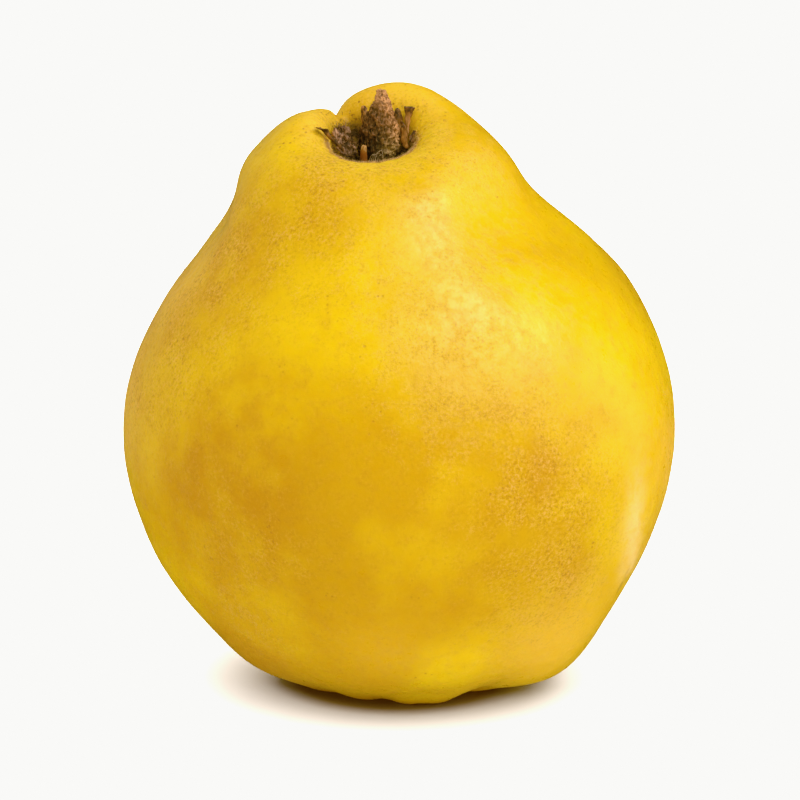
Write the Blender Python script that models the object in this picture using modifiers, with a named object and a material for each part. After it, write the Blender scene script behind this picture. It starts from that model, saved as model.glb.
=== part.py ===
"""A quince standing on its calyx end, stem end up.

The fruit is one solid. The woody stem stub, the dried scraps of the shoot in the stem pit and
the dried calyx underneath are pieces of their own, 0.3 mm or more clear of it.

Built in metres, +Z up, with the origin under the middle of the fruit's bounding box, where the
fruit stands. All the lengths below are millimetres, and azimuths are degrees counted from +X
towards +Y. The fruit's front is -Y.
"""

import math

import bmesh
import bpy
from mathutils import Vector

MM = 0.001

# ---------------------------------------------------------------- fruit

# How many meridians go round the fruit's mesh.
FRUIT_SEGMENTS = 88

# The mean meridian: radius, height, and how many rings lie up to the next point.
MERIDIAN = [
    (0.0, 9.0, 1),  # floor of the calyx basin
    (4.6, 8.2, 2),
    (8.2, 4.5, 2),
    (11.8, 1.5, 3),  # calyx rim
    (17.0, 2.2, 2),
    (24.5, 5.4, 2),
    (32.2, 12.5, 3),
    (38.7, 22.5, 3),
    (42.9, 34.0, 3),
    (43.8, 44.0, 3),  # widest
    (42.0, 54.0, 3),
    (37.8, 63.5, 3),
    (32.0, 70.5, 3),
    (26.8, 75.6, 3),  # neck
    (23.0, 80.5, 3),
    (20.2, 85.5, 3),
    (16.0, 89.2, 2),
    (11.2, 90.2, 3),  # crown of the cap
    (7.6, 88.0, 3),
    (5.6, 84.0, 3),  # wall of the stem pit
    (0.0, 82.8, 0),  # floor of the stem pit
]

# The cap leans: its axis shifts by this much between these heights.
CAP_SHIFT = Vector((-4.1, -0.7, 0.0))
CAP_SHIFT_FROM = 66.0
CAP_SHIFT_TO = 82.0

# The stem pit lies off the middle of the cap: its own shift, from none at one radius to all of it.
PIT_SHIFT = Vector((-1.0, 0.3, 0.0))
PIT_SHIFT_FROM = 15.0
PIT_SHIFT_TO = 7.0

# Five faint lobes run down the bulb, fading above, below and into the basin.
LOBES = 5
LOBE_AZIMUTH = -28.0
LOBE_SWELL = 0.8
LOBE_HEIGHT = 32.0
LOBE_REACH = 18.0
LOBE_FULL_RADIUS = 30.0

# Swellings and hollows: centre, reach, and push at the centre.
SWELLINGS = [
    ((-19.5, -2.7, 87.0), 5.0, (0.3, 0.0, -0.4)),  # outer slope of the left lobe
    ((-12.0, -8.2, 89.0), 4.5, (0.0, 0.0, -1.2)),  # front of the left lobe
    ((0.0, 11.3, 91.0), 7.0, (0.0, 1.0, 4.4)),  # back lobe, the highest
    ((7.5, 6.3, 89.0), 6.0, (-0.2, 0.0, 1.0)),  # it runs on into the right lobe
    ((-3.5, -12.7, 89.0), 7.5, (0.0, 1.0, -2.8)),  # low front of the pit's rim
    ((-0.5, -25.7, 74.0), 11.0, (0.0, -2.0, -1.0)),  # front of the neck fills out
    ((26.5, -0.7, 75.0), 7.0, (1.6, 0.0, 0.3)),  # right of the neck fills out
    ((-27.5, -0.7, 76.0), 4.5, (1.5, 0.0, -0.4)),  # left of the neck is drawn in
    ((-31.5, -0.7, 64.0), 8.0, (1.4, 0.0, 0.0)),  # left shoulder falls away
    ((30.5, -0.7, 66.0), 7.0, (-1.2, 0.0, 0.0)),  # so does the right one
    ((-22.5, -6.0, 2.0), 6.0, (-0.8, 0.0, -1.5)),  # lower left corner
    ((-12.0, 38.0, 30.0), 16.0, (0.0, -1.2, 0.0)),  # the back is a little flat
    ((24.0, 33.0, 50.0), 13.0, (0.8, 1.0, 0.0)),  # and swells beside that
]

# Ridges and creases: both ends of the line they run along, reach across it, and push on it.
RIDGES = [
    ((-15.5, -2.2, 89.0), (-11.7, 3.3, 88.5), 4.0, (1.0, 0.2, 3.1)),  # left lobe of the cap
    ((-9.0, 7.3, 88.0), (-15.0, 14.8, 88.5), 1.7, (0.3, 0.5, -4.8)),  # between left and back lobes
    ((-15.5, 14.3, 87.0), (-20.0, 17.3, 77.0), 3.0, (0.9, -0.9, -0.6)),  # it runs down to the neck
    ((3.0, -19.0, 83.0), (10.0, -30.0, 69.0), 5.0, (0.2, -1.2, 0.4)),  # front ridge of the cap
    ((38.0, -20.0, 44.0), (30.0, -17.0, 15.0), 4.0, (0.5, -0.5, 0.0)),  # rib down the right side
    ((25.0, -12.0, 4.0), (26.0, 2.0, 4.5), 7.0, (1.9, 0.0, -2.7)),  # the lower right is full
    ((8.0, -19.0, 7.0), (5.5, -14.0, 3.0), 3.0, (0.0, -0.8, -0.7)),  # rib above the front knob
    ((13.5, -17.0, 6.0), (12.0, -13.0, 3.0), 2.4, (0.0, 0.8, 0.6)),  # hollow to its right
]

# Knobs of the calyx rim, which the fruit stands on: azimuth, half width in degrees, push down.
RIM_KNOBS = [
    (-150.0, 9.0, 1.9),
    (-118.0, 12.0, 1.9),
    (-87.0, 7.0, 2.2),
    (-68.0, 7.0, 2.3),
    (-32.0, 10.0, 1.6),
    (4.0, 10.0, 2.2),
    (40.0, 10.0, 1.8),
    (77.0, 10.0, 2.3),
    (112.0, 9.0, 1.8),
    (147.0, 10.0, 2.2),
    (179.0, 9.0, 2.0),
]
RIM_RADIUS = 11.8
RIM_REACH = 3.6
RIM_TOP = 12.0

# ---------------------------------------------------------------- stem pit

# How many steps are laid between the listed points of a twig or a scale, and how round twigs are.
RUN_STEPS = 3
TWIG_BEVEL_RESOLUTION = 2
STEM_BEVEL_RESOLUTION = 5

# Woody stub, from above the pit's floor to its broken tip: x, y, z, radius.
STEM_STUB = [
    (-3.7, 0.5, 84.9, 2.6),
    (-3.7, 0.6, 86.4, 3.3),
    (-3.6, 0.7, 88.3, 3.3),
    (-3.4, 0.8, 89.9, 3.0),
    (-3.4, 0.9, 91.6, 2.4),
    (-3.2, 0.9, 93.3, 1.7),
    (-3.1, 0.9, 94.4, 1.2),
    (-3.2, 1.0, 95.4, 0.9),
    (-3.2, 1.0, 96.0, 0.8),
]

# Dried stalks and buds round the stub, from foot to tip: x, y, z, radius.
DRIED_STALKS = {
    "bract_far_left": [
        (-9.1, -3.4, 87.2, 0.3),
        (-10.3, -4.2, 88.5, 0.3),
        (-11.3, -4.8, 89.7, 0.35),
        (-12.0, -5.1, 90.6, 0.45),
        (-12.7, -5.2, 91.7, 0.55),
    ],
    "bract_back_left": [
        (-5.3, 4.5, 86.8, 0.35),
        (-5.6, 5.5, 88.8, 0.35),
        (-5.9, 6.3, 90.6, 0.65),
        (-6.0, 6.9, 92.3, 0.4),
    ],
    "bract_right_inner": [
        (0.0, 2.9, 87.4, 0.3),
        (-0.2, 3.4, 89.2, 0.35),
        (-0.5, 4.1, 90.9, 0.65),
        (-0.9, 4.6, 92.4, 0.35),
    ],
    "bract_right_outer": [
        (0.9, 1.8, 88.5, 0.3),
        (0.9, 2.6, 89.8, 0.35),
        (1.0, 3.4, 91.4, 0.5),
        (1.3, 3.9, 93.0, 0.8),
    ],
    "bud_peg": [
        (-5.9, -3.6, 84.9, 0.55),
        (-6.0, -3.8, 86.5, 0.6),
        (-5.9, -3.9, 88.2, 0.5),
    ],
    "stipule_curl": [
        (-4.5, -4.3, 85.3, 0.25),
        (-5.0, -4.7, 87.0, 0.25),
        (-4.6, -4.9, 87.9, 0.25),
        (-3.7, -4.8, 87.4, 0.25),
        (-3.1, -4.6, 87.0, 0.25),
    ],
}

# Dried scales: the middle line from foot to tip as x, y, z and half width; the direction that
# the width runs in; and how far the edges curl off the middle.
DRIED_SCALES = {
    "bud_scale": (
        [
            (-8.0, -1.4, 85.7, 1.0),
            (-8.8, -0.7, 87.3, 1.5),
            (-9.5, 0.0, 88.8, 1.5),
            (-9.9, 0.6, 90.2, 0.8),
        ],
        (0.9, 0.35, 0.25),
        -0.5,
    ),
    "stipule_right": (
        [
            (0.5, -0.5, 87.0, 0.4),
            (0.4, 0.2, 88.3, 0.7),
            (0.2, 0.9, 89.7, 0.6),
            (-0.1, 1.4, 91.0, 0.3),
        ],
        (0.5, -0.85, 0.2),
        0.3,
    ),
    "stipule_rim": (
        [
            (1.4, -1.3, 88.1, 0.4),
            (1.7, -0.7, 88.9, 0.45),
            (2.0, -0.2, 89.8, 0.3),
        ],
        (-0.6, 0.75, 0.3),
        0.1,
    ),
}
SCALE_COLUMNS = 5
SCALE_THICKNESS = 0.45

# ---------------------------------------------------------------- calyx

# Five dried sepals, folded in over the basin: radius, height and half width, from foot to tip.
SEPALS = 5
SEPAL_AZIMUTH = 20.0
SEPAL_CURL = 0.5
SEPAL_LINE = [
    (6.2, 4.7, 1.6),
    (5.3, 3.5, 1.9),
    (4.0, 2.9, 1.4),
    (2.5, 3.1, 0.5),
]

# Dried stamens: a ring drawn down into points, with notches between them.
STAMENS = 20
STAMEN_RADIUS = 3.8
STAMEN_TIP_RADIUS = 3.2
STAMEN_TOP = 7.7
STAMEN_TIP = 5.2
STAMEN_NOTCH = 6.4
STAMEN_THICKNESS = 0.5

# Tuft of dried styles in the middle: x, y, z, radius.
STYLES = [
    (0.0, 0.0, 8.1, 1.5),
    (0.1, 0.0, 7.2, 0.9),
    (0.2, 0.1, 5.8, 0.7),
    (0.3, 0.1, 4.6, 0.45),
]

# ---------------------------------------------------------------- colours

FRUIT_YELLOW = (0.78, 0.5, 0.03)
WOOD_BROWN = (0.12, 0.06, 0.03)
DRY_DARK = (0.07, 0.035, 0.02)
DRY_BROWN = (0.2, 0.11, 0.05)
DRY_GREY = (0.25, 0.17, 0.12)
AMBER = (0.45, 0.2, 0.04)
STRAW = (0.5, 0.4, 0.28)
STALK_COLOURS = {"bud_peg": AMBER, "stipule_curl": STRAW}
SKIN_ROUGHNESS = 0.5
DRY_ROUGHNESS = 0.85


def smooth_step(start, end, value):
    """0 at start, 1 at end, and an even S between."""
    x = min(1.0, max(0.0, (value - start) / (end - start)))
    return x * x * (3.0 - 2.0 * x)


def bell(distance, reach):
    """1 at distance 0, fading smoothly past reach."""
    return math.exp(-0.5 * (distance / reach) ** 2)


def turn_between(azimuth, other):
    """Smallest angle in degrees between two azimuths."""
    return abs((azimuth - other + 180.0) % 360.0 - 180.0)


def distance_to_line(point, start, end):
    """Distance from a point to the nearest point of the line from start to end."""
    along = end - start
    x = (point - start).dot(along) / along.length_squared
    return (point - start - along * min(1.0, max(0.0, x))).length


def curve_point(before, start, end, after, x):
    """A point a fraction x along the smooth curve from start to end."""
    slope_in = (end - before) / 2.0
    slope_out = (after - start) / 2.0
    x2 = x * x
    x3 = x2 * x
    return (
        start * (2.0 * x3 - 3.0 * x2 + 1.0)
        + slope_in * (x3 - 2.0 * x2 + x)
        + end * (3.0 * x2 - 2.0 * x3)
        + slope_out * (x3 - x2)
    )


def smooth_run(points, steps):
    """Points along the smooth curve through the listed ones, the given number of steps a span."""
    vectors = [Vector(point) for point in points]
    before = vectors[0] * 2.0 - vectors[1]
    after = vectors[-1] * 2.0 - vectors[-2]
    padded = [before, *vectors, after]
    run = []
    for span, count in enumerate(steps):
        for step in range(count):
            run.append(curve_point(*padded[span : span + 4], step / count))
    run.append(vectors[-1])
    return run


def even_run(points):
    """The smooth curve through the listed points, with the same number of steps in each span."""
    return smooth_run(points, [RUN_STEPS] * (len(points) - 1))


def new_material(name, colour, roughness):
    """A plain Principled material for one piece."""
    material = bpy.data.materials.new(name)
    material.use_nodes = True
    shader = material.node_tree.nodes["Principled BSDF"]
    shader.inputs["Base Color"].default_value = (*colour, 1.0)
    shader.inputs["Roughness"].default_value = roughness
    shader.inputs["Metallic"].default_value = 0.0
    material.diffuse_color = (*colour, 1.0)
    return material


def add_piece(name, data, colour, roughness, frame):
    """Link a piece into the quince's collection with its own material, carried by the frame."""
    piece = bpy.data.objects.new(name, data)
    data.materials.append(new_material(name, colour, roughness))
    frame.users_collection[0].objects.link(piece)
    piece.parent = frame
    return piece


def fill_mesh(name, shape):
    """Turn a finished bmesh into a smooth-shaded mesh."""
    mesh = bpy.data.meshes.new(name)
    shape.to_mesh(mesh)
    shape.free()
    mesh.shade_smooth()
    return mesh


def fruit_point(ring, azimuth):
    """The point of the fruit's skin on a ring, given as radius and height, at an azimuth."""
    lobe = math.cos(math.radians(LOBES * (azimuth - LOBE_AZIMUTH)))
    lobe *= bell(ring.y - LOBE_HEIGHT, LOBE_REACH) * min(1.0, ring.x / LOBE_FULL_RADIUS)
    radius = ring.x + LOBE_SWELL * lobe
    angle = math.radians(azimuth)
    point = Vector((radius * math.cos(angle), radius * math.sin(angle), ring.y))
    point += CAP_SHIFT * smooth_step(CAP_SHIFT_FROM, CAP_SHIFT_TO, ring.y)
    if ring.y > CAP_SHIFT_TO:
        point += PIT_SHIFT * smooth_step(PIT_SHIFT_FROM, PIT_SHIFT_TO, ring.x)
    moved = point.copy()
    for centre, reach, push in SWELLINGS:
        moved += Vector(push) * bell((point - Vector(centre)).length, reach)
    for start, end, reach, push in RIDGES:
        moved += Vector(push) * bell(distance_to_line(point, Vector(start), Vector(end)), reach)
    if ring.y < RIM_TOP:
        for knob_azimuth, half_width, depth in RIM_KNOBS:
            across = bell(turn_between(azimuth, knob_azimuth), half_width)
            moved.z -= depth * across * bell(ring.x - RIM_RADIUS, RIM_REACH)
    moved.z = max(0.0, moved.z)
    return moved


def make_fruit(frame):
    """The fruit: a sphere's mesh, ring by ring, laid on the meridian and pushed into shape."""
    rings = smooth_run(
        [(radius, height) for radius, height, _ in MERIDIAN],
        [count for _, _, count in MERIDIAN[:-1]],
    )
    last = len(rings) - 1
    shape = bmesh.new()
    bmesh.ops.create_uvsphere(shape, u_segments=FRUIT_SEGMENTS, v_segments=last, radius=1.0)
    for vertex in shape.verts:
        polar = math.acos(max(-1.0, min(1.0, -vertex.co.z)))
        ring = rings[round(polar / math.pi * last)]
        azimuth = math.degrees(math.atan2(vertex.co.y, vertex.co.x))
        vertex.co = fruit_point(ring, azimuth) * MM
    return add_piece("fruit", fill_mesh("fruit", shape), FRUIT_YELLOW, SKIN_ROUGHNESS, frame)


def make_twig(name, points, colour, bevel_resolution, frame):
    """A tapering round twig through the listed points."""
    run = even_run(points)
    curve = bpy.data.curves.new(name, "CURVE")
    curve.dimensions = "3D"
    curve.bevel_depth = MM
    curve.bevel_resolution = bevel_resolution
    curve.use_fill_caps = True
    spline = curve.splines.new("POLY")
    spline.points.add(len(run) - 1)
    for point, place in zip(spline.points, run):
        point.co = (*(place.xyz * MM), 1.0)
        point.radius = place.w
    return add_piece(name, curve, colour, DRY_ROUGHNESS, frame)


def make_scale(name, line, width_direction, curl, colour, frame):
    """A thin leafy scale: a grid laid along its middle line, its edges curling off it."""
    run = even_run(line)
    last = len(run) - 1
    across = Vector(width_direction).normalized()
    shape = bmesh.new()
    bmesh.ops.create_grid(shape, x_segments=last, y_segments=SCALE_COLUMNS - 1, size=1.0)
    for vertex in shape.verts:
        row = round((vertex.co.x + 1.0) / 2.0 * last)
        side = vertex.co.y
        along = run[min(row + 1, last)].xyz - run[max(row - 1, 0)].xyz
        off = along.cross(across).normalized()
        vertex.co = (run[row].xyz + across * side * run[row].w + off * curl * side * side) * MM
    scale = add_piece(name, fill_mesh(name, shape), colour, DRY_ROUGHNESS, frame)
    thicken(scale, SCALE_THICKNESS)
    return scale


def thicken(piece, thickness):
    """Give an open surface its thickness, half to each side."""
    solidify = piece.modifiers.new("thickness", "SOLIDIFY")
    solidify.thickness = thickness * MM
    solidify.offset = 0.0


def make_sepal(index, frame):
    """One dried sepal, folded in from the basin's wall."""
    angle = math.radians(SEPAL_AZIMUTH + 360.0 / SEPALS * index)
    cosine, sine = math.cos(angle), math.sin(angle)
    line = [(radius * cosine, radius * sine, z, half) for radius, z, half in SEPAL_LINE]
    name = f"sepal_{index + 1}"
    return make_scale(name, line, (-sine, cosine, 0.0), SEPAL_CURL, DRY_BROWN, frame)


def make_stamens(frame):
    """The dried stamens, as an open tube whose lower edge zigzags from tip to notch."""
    middle = (STAMEN_TOP + STAMEN_TIP) / 2.0
    shape = bmesh.new()
    bmesh.ops.create_cone(
        shape,
        segments=2 * STAMENS,
        radius1=STAMEN_TIP_RADIUS,
        radius2=STAMEN_RADIUS,
        depth=STAMEN_TOP - STAMEN_TIP,
    )
    for vertex in shape.verts:
        place = round(math.atan2(vertex.co.y, vertex.co.x) / math.pi * STAMENS)
        if vertex.co.z < 0.0 and place % 2 == 1:
            vertex.co.z = STAMEN_NOTCH - middle
        vertex.co.z += middle
        vertex.co *= MM
    stamens = add_piece("stamens", fill_mesh("stamens", shape), DRY_DARK, DRY_ROUGHNESS, frame)
    thicken(stamens, STAMEN_THICKNESS)
    return stamens


def centre_on_base(frame, fruit):
    """Move the frame so that the middle of the fruit's bounding box lies over the origin."""
    for axis in range(2):
        places = [vertex.co[axis] for vertex in fruit.data.vertices]
        frame.location[axis] = -(min(places) + max(places)) / 2.0


def make_quince():
    collection = bpy.data.collections.new("quince")
    bpy.context.scene.collection.children.link(collection)
    frame = bpy.data.objects.new("quince_frame", None)
    collection.objects.link(frame)

    centre_on_base(frame, make_fruit(frame))
    make_twig("stem_stub", STEM_STUB, WOOD_BROWN, STEM_BEVEL_RESOLUTION, frame)
    for name, points in DRIED_STALKS.items():
        colour = STALK_COLOURS.get(name, DRY_DARK)
        make_twig(name, points, colour, TWIG_BEVEL_RESOLUTION, frame)
    for name, (line, width_direction, curl) in DRIED_SCALES.items():
        make_scale(name, line, width_direction, curl, DRY_GREY, frame)
    for index in range(SEPALS):
        make_sepal(index, frame)
    make_stamens(frame)
    make_twig("styles", STYLES, DRY_BROWN, TWIG_BEVEL_RESOLUTION, frame)


for old in list(bpy.data.objects):
    bpy.data.objects.remove(old, do_unlink=True)
make_quince()
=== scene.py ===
"""The looks of the quince: its skin, woody stub, dried scraps and calyx, in a white studio.

Shapes and places come from the nodes of the CAD model. Lengths are millimetres, and azimuths are
degrees counted from +X towards +Y unless a comment says radians. The camera looks along +Y.
"""

import math

import bmesh
import bpy
import numpy as np
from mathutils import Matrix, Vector, noise


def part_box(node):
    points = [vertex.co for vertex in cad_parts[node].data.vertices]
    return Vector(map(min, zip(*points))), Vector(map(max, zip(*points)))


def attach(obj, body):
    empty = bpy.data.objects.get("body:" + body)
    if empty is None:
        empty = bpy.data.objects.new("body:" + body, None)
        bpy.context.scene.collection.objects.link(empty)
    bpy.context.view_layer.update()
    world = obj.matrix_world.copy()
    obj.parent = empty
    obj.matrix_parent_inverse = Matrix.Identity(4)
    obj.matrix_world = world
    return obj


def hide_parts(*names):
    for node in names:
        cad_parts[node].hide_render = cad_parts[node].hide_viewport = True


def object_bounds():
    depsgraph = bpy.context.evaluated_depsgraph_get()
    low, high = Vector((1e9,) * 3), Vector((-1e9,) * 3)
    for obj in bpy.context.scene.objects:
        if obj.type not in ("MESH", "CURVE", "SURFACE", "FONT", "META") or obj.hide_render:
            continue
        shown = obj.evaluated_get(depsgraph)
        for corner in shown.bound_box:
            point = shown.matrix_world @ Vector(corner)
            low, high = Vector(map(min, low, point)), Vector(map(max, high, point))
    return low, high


MM = 0.001

# ------------ camera and light

CAMERA_ELEVATION = 14.0
CAMERA_DISTANCE = 850.0
CAMERA_AIM = (0.2, 0.0, 46.2)
FRAME_WIDTH = 127.2
SENSOR_WIDTH = 36.0
CAMERA_NEAR = 10.0

# The floor's two cards: their width, the gap between them, the warm grey of the upper one, which
# the wash overexposes, and the grey of the lower one, which isn't seen.
FLOOR_SIZE = 40000.0
FLOOR_GAP = 0.05
FLOOR_WHITE = (0.304, 0.281, 0.26)
FLOOR_GREY = (0.14, 0.14, 0.14)
# Their faint cloudiness: its size, and how dark it gets.
CLOUD_SIZE = 300.0
CLOUD_SHADE = 0.995
# The warm light that the quince throws on them: its tint, and how far from the middle it is
# full and is gone.
GLOW_TINT = (0.5, 0.34, 0.14)
GLOW_FULL = 15.5
GLOW_END = 21.0
PAPER_WHITE = (249, 249, 247)
# The tone curve of blue near black: what goes in and what comes out.
BLUE_TONES = [(0.03, 0.01), (0.12, 0.105)]

# The dome is brightest in one direction and dimmest in the opposite one.
DOME_TOWARDS = (-0.8, 0.1, 0.0)
DOME_COLOUR = (1.0, 0.98, 0.95)
DOME_BRIGHT = 1.05
DOME_DIM = 0.68

# The lamps that light only the floor: the wash on the upper card, the bounce on the lower.
WASH_TOWARDS = (0.1, -0.1, 1.0)
WASH_SPREAD = 116.0
WASH_STRENGTH = 32.0
BOUNCE_STRENGTH = 28.0

KEY_AZIMUTH = -40.0
KEY_ELEVATION = 46.0
KEY_STRENGTH = 1.94
KEY_SPREAD = 60.0

# Lamps that only make gloss: azimuth, elevation, spread and strength.
GLOSS = [
    (-38.0, 52.0, 55.0, 5.2),
    (0.0, 6.0, 40.0, 0.8),
    (150.0, 20.0, 90.0, 0.5),
]

# ------------ the skin's shape

SKIN_LEVELS = 2
WELD_DISTANCE = 0.001
QUAD_ANGLE = math.radians(60.0)

# Broad and small unevenness of the skin: size and height, and the first one's seed.
SKIN_WAVES = [(15.0, 0.16), (6.0, 0.06), (2.6, 0.025)]
WAVE_SEED = 3.1

# The heights at which the fruit's upper side and its lower side begin and are full.
UPPER_SIDE = (78.0, 84.0)
LOWER_SIDE = (12.0, 6.0)
# Below this height the skin keeps more and more to the CAD fruit, to stand as that does.
STANDING_HEIGHT = 2.5

# The stem pit: its middle, counted from the stub's, the reach of its rim from there, and how
# much farther and lower the rim is at the front. Its breadths are shares of the rim's reach.
PIT_FROM_STUB = (-1.4, -1.0, 0.0)
RIM_REACH = 7.3
RIM_FORWARD = 2.7
RIM_DIP = 0.3
RIM_DIP_WIDTH = 0.2

# Folds in the pit's rim: how many broad and fine ones, how strong the fine ones are, how deep
# and broad the folds are, how far they waver, and the level that their strength swings about.
PIT_FOLDS = 23
FINE_FOLDS = 37
FINE_FOLD_SHARE = 0.6
PIT_FOLD_DEPTH = 0.07
PIT_FOLD_WIDTH = 0.33
FOLD_WARP = 2.2
FOLD_LEVEL = 0.6
FOLD_SWING = 0.8

# Folds in the calyx basin's rim: how many, how deep, how broad, and how far from the middle.
BASIN_FOLDS = 31
BASIN_FOLD_DEPTH = 0.22
BASIN_FOLD_WIDTH = 3.0
BASIN_RIM = 9.5

# Noise: its size, its seed, and its octaves where it has more than one.
WARP_NOISE = (6.0, 11.0)
FOLD_NOISE = (4.0, 17.0)
EDGE_NOISE = (3.0, 21.0, 2)

# A low rib down the right side, pale with a painted highlight along it: the line it follows, its
# width and its height, and the heights between which it fades in.
RIB = [(37.3, -24.0, 47.0), (36.8, -25.0, 40.0), (36.5, -23.7, 33.0), (36.0, -18.5, 24.0)]
RIB_WIDTH = 1.7
RIB_HEIGHT = 0.22
RIB_HEIGHTS = (47.0, 32.0)

# A fine brown scar beside the rib's foot: the line it follows and its width.
SCAR = [(36.5, -19.7, 26.8), (35.8, -19.0, 24.0), (34.9, -17.6, 21.0), (34.2, -17.3, 19.2)]
SCAR_WIDTH = 0.22

# Where the cleft behind the left lobe runs out, it is softened: how far and how much.
CLEFT_END = (-13.8, 17.0, 83.0)
CLEFT_REACH = 4.2
CLEFT_ROUNDS = 150

# Gentle swellings and hollows that finish the fruit's shape: x, y, z, reach and height. The
# first is the knob low on the front.
SWELLS = [
    (9.5, -29, 7.5, 4, 1.2), (-6, 12, 92.5, 5, 0.8), (2, 11, 95, 7, 0.2),
    (16, 0, 86, 6, 0.5), (22, 1, 80, 6, 0.35), (-10.9, 5.5, 92.4, 3, -1.0),
    (-16.5, 4, 91.8, 4, 0.5), (-25, 0, 84, 4, 0.4), (-37, -6, 18, 9, 0.5),
]

# ------------ the skin's colours

# Where down is left, where the skin is tan under it, and where it is deep gold, lemon yellow or
# pale: x, y, z, reach and weight. The pale patches are partly pale skin and mostly painted light:
# painted sheen at the left and right edges, a painted highlight on the right shoulder, and painted
# light on the tops of the humps and low on the front. The lemon patches on the front knob, the
# right shoulder and the humps' tops are partly painted light too, and the tan patch low on the left
# by the floor only makes the skin darker there.
DOWN = [
    (-28, -13, 72, 10, 1.0), (-36, -14, 60, 9, 1.0), (-14, -24, 76, 7, 0.5),
    (-12, -14, 86.5, 5, 0.7), (6, -37, 60, 8, 0.5), (22, -35, 40, 9, 0.8),
    (24, -30, 24, 8, 0.7), (-21, -31, 32, 9, 0.4), (-24, -24, 17, 6, 0.4),
    (14, -35, 52, 8, 0.4), (8, -29, 71, 7, 0.4), (0, -17, 85, 7, 0.6),
    (9, -8, 88, 6, 0.7), (-41, -8, 50, 8, 0.8), (-20, 30, 66, 10, 0.8),
    (30, 24, 30, 12, 0.7), (-10, 38, 34, 12, 0.5),
]
TAN = [
    (-27, -15, 73, 8, 0.9), (-13, -20, 82, 5, 0.5), (-11.5, -12, 87, 3.5, 0.3),
    (-25, -7, 81, 5, 0.2), (-38, -10, 58, 9, 0.6), (-42, -8, 44, 8, 0.4),
    (-28, -32, 43, 9, 1.0), (-24, -34, 36, 7, 0.5), (-20, -35, 51, 7, 0.5),
    (-30, -26, 30, 9, 0.6), (-20, -33, 30, 7, 0.5), (5, -41, 31, 8, 0.4),
    (-21, -13, 5, 6, 0.8), (-24, -22, 12, 7, 0.4), (20, -36, 52, 6, 0.5),
    (24, -35, 42, 6.5, 0.6), (25, -29, 23, 7, 0.6), (-5, 8, 90, 4, 0.6),
    (-22, 30, 64, 9, 0.8), (28, 28, 28, 11, 0.6), (4, 42, 42, 9, 0.4),
]
GOLD = [
    (0, -43, 42, 13, 0.6), (0, -40, 30, 9, 0.4), (-27, -32, 40, 10, 0.7),
    (-8, -40, 26, 11, 0.6), (0, -33, 14, 9, 0.9), (22, -22, 11, 9, 0.8),
    (-22, -20, 13, 9, 0.8), (-20, -9, 82, 6, 0.6), (-34, 20, 34, 14, 0.7),
    (14, 38, 22, 12, 0.6),
]
LEMON = [
    (-14, -32, 67, 9, 0.9), (34, -20, 62, 9, 0.9), (38, -17, 52, 9, 0.5),
    (14, -13, 83, 8, 0.8), (8, -30, 70, 7, 0.3), (20, -35, 63, 7, 0.5),
    (9, -29, 10.5, 4.5, 1.0), (14, 30, 72, 12, 0.8), (-40, 12, 48, 9, 0.5),
    (2, 10, 94, 7, 0.8), (-3, -10, 87, 6, 0.7), (-17, -10, 88, 6, 0.6),
]
PALE_AND_PAINTED_LIGHT = [
    (23, -21, 11, 9, 0.7), (-2, -33, 12, 7, 0.35), (-22, -20, 11, 8, 0.2),
    (37, -12, 27, 6, 0.5), (42, -12, 40, 6, 0.8), (2, 11, 94, 8, 0.4),
    (-12, -1, 91, 4, 0.3), (13, -11, 86, 6, 0.3), (-35, -3, 67, 6, 0.5),
    (-43, -3, 48, 6, 0.4),
]

# Dark felt in the pit and the basin: how far out it begins and is full, and how ragged its edge
# is. The pit's wall is cleaner on one side.
PIT_FELT = (0.99, 0.76)
PIT_RAGGED = 0.12
BASIN_FELT = (9.0, 6.5)
BASIN_RAGGED = 0.9
CLEAN_AZIMUTH = math.radians(150.0)
CLEAN_SHARE = 0.25
# Dark felt fills the gully behind the stub too, and painted shade darkens it as cork: its middle
# and reach.
SHADED_GULLY = (-6.8, 8.0, 87.3)
SHADED_GULLY_REACH = 1.7

# Pale felt on the pit's rim: the middle of its side, the cosines about that at which it begins
# and is full, how far out it lies, and how broad, ragged and strong it is.
RIM_AZIMUTH = math.radians(-70.0)
RIM_SIDE = (-0.15, 0.35)
RIM_PLACE = 0.98
RIM_WIDTH = 0.07
RIM_RAGGED = 0.1
RIM_STRENGTH = 0.45

# How far out the pores crowd, how broadly, and how far out dry skin begins and is full.
PORES_PLACE = 1.5
PORES_WIDTH = 0.5
DRY_REACH = (2.0, 1.2)

# How a layer comes and goes: its level, its swing, and the noise's size, seed and octaves.
TORN_SCAR = (0.6, 1.2, 1.5, 51.0)
BROKEN_DOWN = (0.75, 0.9, 5.0, 31.0, 3)
PORE_CLUSTERS = (0.7, 1.5, 4.5, 41.0, 2)

SKIN_GOLD = (203, 153, 0)
SKIN_MIDDLE = (222, 179, 0)
SKIN_LEMON = (231, 192, 0)
SKIN_TAN = (188, 126, 10)
SKIN_PALE_AND_PAINTED_LIGHT = (246, 192, 60)
RIB_HIGHLIGHT = (248, 208, 118)
DOWN_PALE = (232, 178, 84)
DOWN_DARK = (160, 102, 14)
PORE_BROWN = (146, 80, 20)
CORK_BROWN = (92, 62, 38)
RIM_BEIGE = (200, 154, 90)
GLOSS_TINT = (255, 250, 225)
SHEEN_TINT = (255, 205, 140)

# Noise in the skin's material: its size, detail and roughness.
BROAD_NOISE = (20.0, 2.0)
BLOTCH_NOISE = (6.0, 4.0, 0.6)
MOTTLE_NOISE = (1.7, 4.0, 0.6)
GRAIN_NOISE = (0.5, 3.0, 0.7)
PORE_NOISE = (8.0, 3.0)
PEEL_NOISE = (2.4, 3.0, 0.6)
PORE_SPACING = 1.0
# Thin lines of down, where noise is near its middle: the noise's size, and how near.
WISP_SIZE = 0.65
WISP_WIDTH = 0.035

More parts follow.
